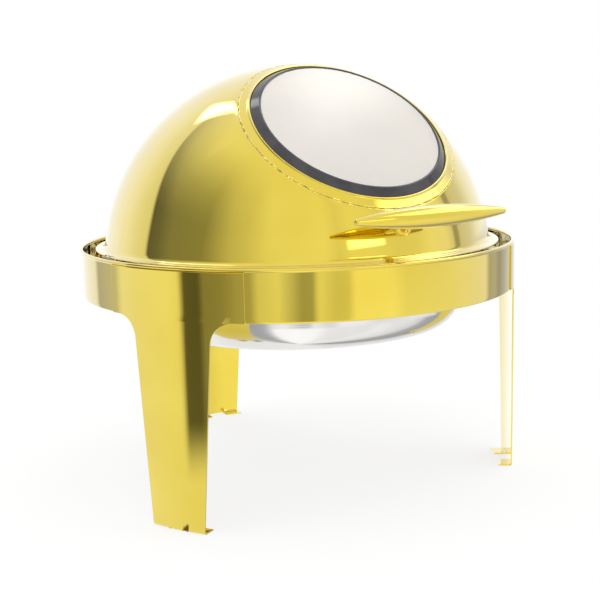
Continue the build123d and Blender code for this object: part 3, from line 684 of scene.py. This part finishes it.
def bush_plastic():
    material, tree, shader = new_material("natural_nylon", Roughness=0.45)
    shader.inputs["Subsurface Weight"].default_value = 0.1
    haze = noise(tree, 90.0, 3.0)
    tree.links.new(colour_mix(tree, spread(tree, haze, 0, 1), (0.72, 0.70, 0.63), (0.84, 0.82, 0.76)),
                   shader.inputs["Base Color"])
    tree.links.new(spread(tree, haze, 0.38, 0.55), shader.inputs["Roughness"])
    return material


MATERIALS = {
    "gold": gold(),
    "pan_steel": pan_steel(),
    "bracket_steel": bracket_steel(),
    "hardware": hardware(),
    "window_glass": window_glass(),
    "black_seal": black_seal(),
    "bumper_rubber": bumper_rubber(),
    "bush_plastic": bush_plastic(),
}


def dress_cad_nodes():
    """Every CAD node gets the finish of its material slot."""
    for part in frame["record"]["subparts"]:
        obj = frame["nodes"][part["node"]]
        if not obj.material_slots:
            obj.data.materials.append(None)
        for held in obj.material_slots:
            held.material = MATERIALS[part["material_slot"]]


def add_piece(obj, body, slot, *nodes):
    obj.data.materials.clear()
    obj.data.materials.append(MATERIALS[slot])
    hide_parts(*nodes)
    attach(obj, body)


# ---- studio ----
# How bright the room is all the way round, as (degrees from the camera's side, light). The first table is the
# room just under eye level, and the second is the room from there up.
ROOM_LOW = [
    (-180, 1.15), (-150, 1.02), (-130, 0.98), (-126, 0.50), (-117, 0.58), (-106, 0.64), (-101, 0.98),
    (-68, 1.02), (-62.5, 0.98), (-59, 0.13), (-51, 0.12), (-48, 0.28), (-38, 0.32), (-31, 0.43),
    (-24, 0.48), (-20, 0.80), (-10, 0.92), (-3, 0.64), (2, 0.43), (7, 0.46), (10.5, 0.96), (19, 0.80),
    (25, 0.84), (29, 1.14), (48, 1.12), (56, 0.98), (113, 0.98), (117, 0.50), (123, 0.54), (129, 0.38),
    (143, 0.62), (180, 1.1),
]
ROOM_HIGH = [
    (-180, 1.12), (-160, 1.04), (-148, 1.02), (-132, 1.05), (-120, 1.02), (-110, 0.94), (-100, 0.88),
    (-97.5, 0.84), (-96.5, 0.14), (-88, 0.17), (-78, 0.26), (-56, 0.30), (-48, 0.45), (-40, 0.62),
    (-28, 0.77), (-16, 0.97), (16, 1.03), (24, 0.92), (32, 1.03), (46, 1.0), (60, 0.92), (74, 0.94),
    (84, 1.04), (97, 1.0), (103, 0.80), (104.5, 0.40), (108, 0.42), (110, 0.74), (122, 0.78), (134, 0.98),
    (150, 1.04), (180, 1.12),
]
# The ground further off, all the way round.
ROOM_GROUND = [
    (-180, 1.0), (-90, 1.0), (-48, 0.98), (-40, 0.60), (-34, 0.44), (-26, 0.46), (-22, 0.60), (-17, 1.15),
    (14, 1.15), (22, 1.02), (48, 1.02), (62, 1.10), (84, 0.95), (98, 0.80), (106, 0.50), (134, 0.42),
    (150, 0.85), (180, 1.0),
]
# Softboxes and a bright doorway: azimuth from and to, elevation from and to, soft edge across and upright,
# all in degrees, and how much light they add.
ROOM_LAMPS = [
    (-148, -129, 42, 69, 6, 4, 3.0),
    (135, 162, 41, 60, 6, 4, 1.6),
    (58, 131, 24, 57, 8, 9, 1.5),
    (28, 53, 9.5, 15.5, 3, 1.2, 2.0),
]
# How strongly the second table shows, as (elevation in degrees, share). Above it the room is evenly white.
ROOM_FADE = [
    (-90, 1.0), (21, 1.0), (27, 0.94), (33, 0.84), (39, 0.71), (45, 0.52), (51, 0.33), (57, 0.15), (64, 0.0),
]
# Elevations, in degrees, between which one table goes over into the next.
GROUND_TO_LOW = (-19.5, -16.0)
LOW_TO_HIGH = (-6.0, 0.0)
# The dark panel's left edge leans: from this elevation up, by this factor times the square of the rise.
LEAN_FROM, LEAN_FACTOR = 7.0, 0.0195
LEAN_AZIMUTHS = (-70, -90)                           # it grows from none to all between these
RAMP_TOP = 1.25                                      # the largest light that a table holds

FLOOR_RADIUS = 0.75
FLOOR_FADE = (0.30, 0.60)                            # from paper to glow, as distances from the middle
FLOOR_GLOW = 0.74                                    # the glow's share at the middle


def smooth_range(tree, value, low, high):
    node = tree.nodes.new("ShaderNodeMapRange")
    node.interpolation_type = "SMOOTHSTEP"
    node.inputs["From Min"].default_value = low
    node.inputs["From Max"].default_value = high
    tree.links.new(value, node.inputs["Value"])
    return node.outputs["Result"]


def ramp(tree, value, stops, low, high):
    """Reads a curve given as (position, height), with heights from 0 to RAMP_TOP."""
    scaled = tree.nodes.new("ShaderNodeMapRange")
    scaled.inputs["From Min"].default_value = low
    scaled.inputs["From Max"].default_value = high
    tree.links.new(value, scaled.inputs["Value"])
    node = tree.nodes.new("ShaderNodeValToRGB")
    elements = node.color_ramp.elements
    for i, (place, height) in enumerate(stops):
        share = (place - low) / (high - low)
        if i < 2:
            elements[i].position = share
        element = elements[i] if i < 2 else elements.new(share)
        grey = height / RAMP_TOP
        element.color = (grey, grey, grey, 1)
    tree.links.new(scaled.outputs["Result"], node.inputs["Fac"])
    return math_node(tree, "MULTIPLY", node.outputs["Color"], RAMP_TOP)


def blend(tree, share, first, second):
    node = tree.nodes.new("ShaderNodeMix")
    for key, value in (("Factor", share), ("A", first), ("B", second)):
        if isinstance(value, (int, float)):
            node.inputs[key].default_value = value
        else:
            tree.links.new(value, node.inputs[key])
    return node.outputs["Result"]


def studio_world():
    """White room with darker places in it, which the polished metal mirrors. Seen directly it is white."""
    world = bpy.data.worlds.new("studio")
    bpy.context.scene.world = world
    world.use_nodes = True
    tree = world.node_tree
    place = tree.nodes.new("ShaderNodeTexCoord")
    turn = tree.nodes.new("ShaderNodeMapping")
    turn.vector_type = "POINT"
    turn.inputs["Rotation"].default_value = (0, 0, -VIEW_AZIMUTH)
    split = tree.nodes.new("ShaderNodeSeparateXYZ")
    tree.links.new(place.outputs["Generated"], turn.inputs["Vector"])
    tree.links.new(turn.outputs["Vector"], split.inputs[0])
    back = math_node(tree, "MULTIPLY", split.outputs["Y"], -1.0)
    azimuth = math_node(tree, "DEGREES", math_node(tree, "ARCTAN2", split.outputs["X"], back))
    elevation = math_node(tree, "DEGREES", math_node(tree, "ARCSINE", split.outputs["Z"]))
    low = ramp(tree, azimuth, ROOM_LOW, -180, 180)
    ground = ramp(tree, azimuth, ROOM_GROUND, -180, 180)
    low = blend(tree, smooth_range(tree, elevation, *GROUND_TO_LOW), ground, low)
    rise = math_node(tree, "MAXIMUM", math_node(tree, "SUBTRACT", elevation, LEAN_FROM), 0.0)
    lean = math_node(tree, "MULTIPLY", math_node(tree, "POWER", rise, 2.0), LEAN_FACTOR)
    lean = math_node(tree, "MULTIPLY", lean, smooth_range(tree, azimuth, *LEAN_AZIMUTHS))
    high = ramp(tree, math_node(tree, "ADD", azimuth, lean), ROOM_HIGH, -180, 180)
    high = blend(tree, ramp(tree, elevation, ROOM_FADE, -90, 90), 1.0, high)
    light = blend(tree, smooth_range(tree, elevation, *LOW_TO_HIGH), low, high)
    for start, end, bottom, top, side_edge, level_edge, strength in ROOM_LAMPS:
        across = math_node(tree, "MULTIPLY", smooth_range(tree, azimuth, start, start + side_edge),
                           smooth_range(tree, azimuth, end, end - side_edge))
        upright = math_node(tree, "MULTIPLY", smooth_range(tree, elevation, bottom, bottom + level_edge),
                            smooth_range(tree, elevation, top, top - level_edge))
        lit = math_node(tree, "MULTIPLY", across, upright)
        light = math_node(tree, "ADD", light, math_node(tree, "MULTIPLY", lit, strength))
    seen = tree.nodes.new("ShaderNodeLightPath")
    light = blend(tree, seen.outputs["Is Camera Ray"], light, 1.0)
    tree.links.new(light, tree.nodes["Background"].inputs["Strength"])
    tree.nodes["Background"].inputs["Color"].default_value = (1.0, 1.0, 1.0, 1)


def soft_light(name, azimuth, elevation, distance, size, power):
    """Softbox aimed at the dome."""
    lamp = bpy.data.lights.new(name, "AREA")
    lamp.shape, lamp.size, lamp.size_y = "RECTANGLE", size[0], size[1]
    lamp.energy = power
    obj = bpy.data.objects.new(name, lamp)
    towards = VIEW_AZIMUTH + radians(azimuth)
    lift = radians(elevation)
    out = Vector((sin(towards) * cos(lift), -cos(towards) * cos(lift), sin(lift)))
    obj.location = CENTRE + out * distance
    obj.rotation_euler = out.to_track_quat("Z", "Y").to_euler()
    obj.visible_glossy = False
    bpy.context.scene.collection.objects.link(obj)


def floor():
    """Pale round floor: paper near the object that fades into the white background."""
    rings, segments = 24, 96
    points = [Vector((AXIS.x, AXIS.y, 0))]
    for i in range(1, rings + 1):
        reach = FLOOR_RADIUS * i / rings
        points += [AXIS + Vector((reach * cos(a), reach * sin(a), 0))
                   for a in (2 * pi * j / segments for j in range(segments))]
    faces = [(0, 1 + j, 1 + (j + 1) % segments) for j in range(segments)]
    for i in range(rings - 1):
        here, after = 1 + i * segments, 1 + (i + 1) * segments
        faces += [(here + j, after + j, after + (j + 1) % segments, here + (j + 1) % segments)
                  for j in range(segments)]
    obj = mesh_object("studio_floor", points, faces)
    material, tree, shader = new_material("studio_paper", Base_Color=(0.93, 0.93, 0.92, 1), Roughness=0.9)
    shader.inputs["Specular IOR Level"].default_value = 0.1
    place = tree.nodes.new("ShaderNodeTexCoord")
    away = tree.nodes.new("ShaderNodeVectorMath")
    away.operation = "LENGTH"
    tree.links.new(place.outputs["Object"], away.inputs[0])
    fade = smooth_range(tree, away.outputs["Value"], *FLOOR_FADE)
    glow = tree.nodes.new("ShaderNodeEmission")
    mix = tree.nodes.new("ShaderNodeMixShader")
    output = tree.nodes["Material Output"]
    lift = math_node(tree, "ADD", math_node(tree, "MULTIPLY", fade, 1 - FLOOR_GLOW), FLOOR_GLOW)
    tree.links.new(lift, mix.inputs["Fac"])
    tree.links.new(shader.outputs[0], mix.inputs[1])
    tree.links.new(glow.outputs[0], mix.inputs[2])
    tree.links.new(mix.outputs[0], output.inputs["Surface"])
    obj.data.materials.append(material)
    obj.visible_glossy = False


def camera():
    lens = bpy.data.cameras.new("camera")
    lens.lens = CAMERA_LENS
    lens.sensor_width = 36.0
    lens.shift_x, lens.shift_y = CAMERA_SHIFT
    lens.clip_start, lens.clip_end = 0.01, 50.0
    obj = bpy.data.objects.new("camera", lens)
    side = Vector((cos(VIEW_AZIMUTH), sin(VIEW_AZIMUTH), 0))
    away = Vector((-sin(VIEW_AZIMUTH), cos(VIEW_AZIMUTH), 0))
    ahead = away * cos(CAMERA_PITCH) - Vector((0, 0, sin(CAMERA_PITCH)))
    above = side.cross(ahead)
    right = side * cos(CAMERA_ROLL) + above * sin(CAMERA_ROLL)
    up = above * cos(CAMERA_ROLL) - side * sin(CAMERA_ROLL)
    turn = Matrix((right, up, -ahead)).transposed().to_4x4()
    place = AXIS - away * CAMERA_DISTANCE + Vector((0, 0, CAMERA_HEIGHT))
    obj.matrix_world = Matrix.Translation(place) @ turn
    bpy.context.scene.collection.objects.link(obj)
    bpy.context.scene.camera = obj


def build():
    dress_cad_nodes()
    add_piece(frame_ring(), "stand", "gold", "frame_ring")
    for name, angle in LEG_ANGLES.items():
        add_piece(leg(name + "_sheet", angle), "stand", "gold", name)
    add_piece(lid_dome(), "lid", "gold", "lid_dome", "lid_rim", "window_frame")
    add_piece(window_gasket(), "lid", "black_seal", "window_gasket")
    add_piece(handle_bar(), "lid", "gold", "handle_bar")
    add_piece(handle_post(), "lid", "gold", "handle_post")
    water = pan("water_bowl", WATER_PAN_SHAPE, water_high.x, water_low.z, water_high.z)
    add_piece(water, "water_pan", "pan_steel", "water_pan")
    food = pan("food_bowl", FOOD_PAN_SHAPE, food_rim_high.x, food_low.z, food_rim_high.z)
    add_piece(food, "food_pan", "pan_steel", "food_pan", "food_pan_rim")
    for bumper in lid_bumpers():
        add_piece(bumper, "stand", "bumper_rubber", "lid_bumpers")


camera()
studio_world()
soft_light("key_softbox", -70.0, 50.0, 1.8, (1.0, 1.4), 6.0)
soft_light("top_softbox", 20.0, 80.0, 1.8, (1.2, 1.2), 4.0)
floor()
build()
bpy.context.scene.view_settings.view_transform = "Standard"
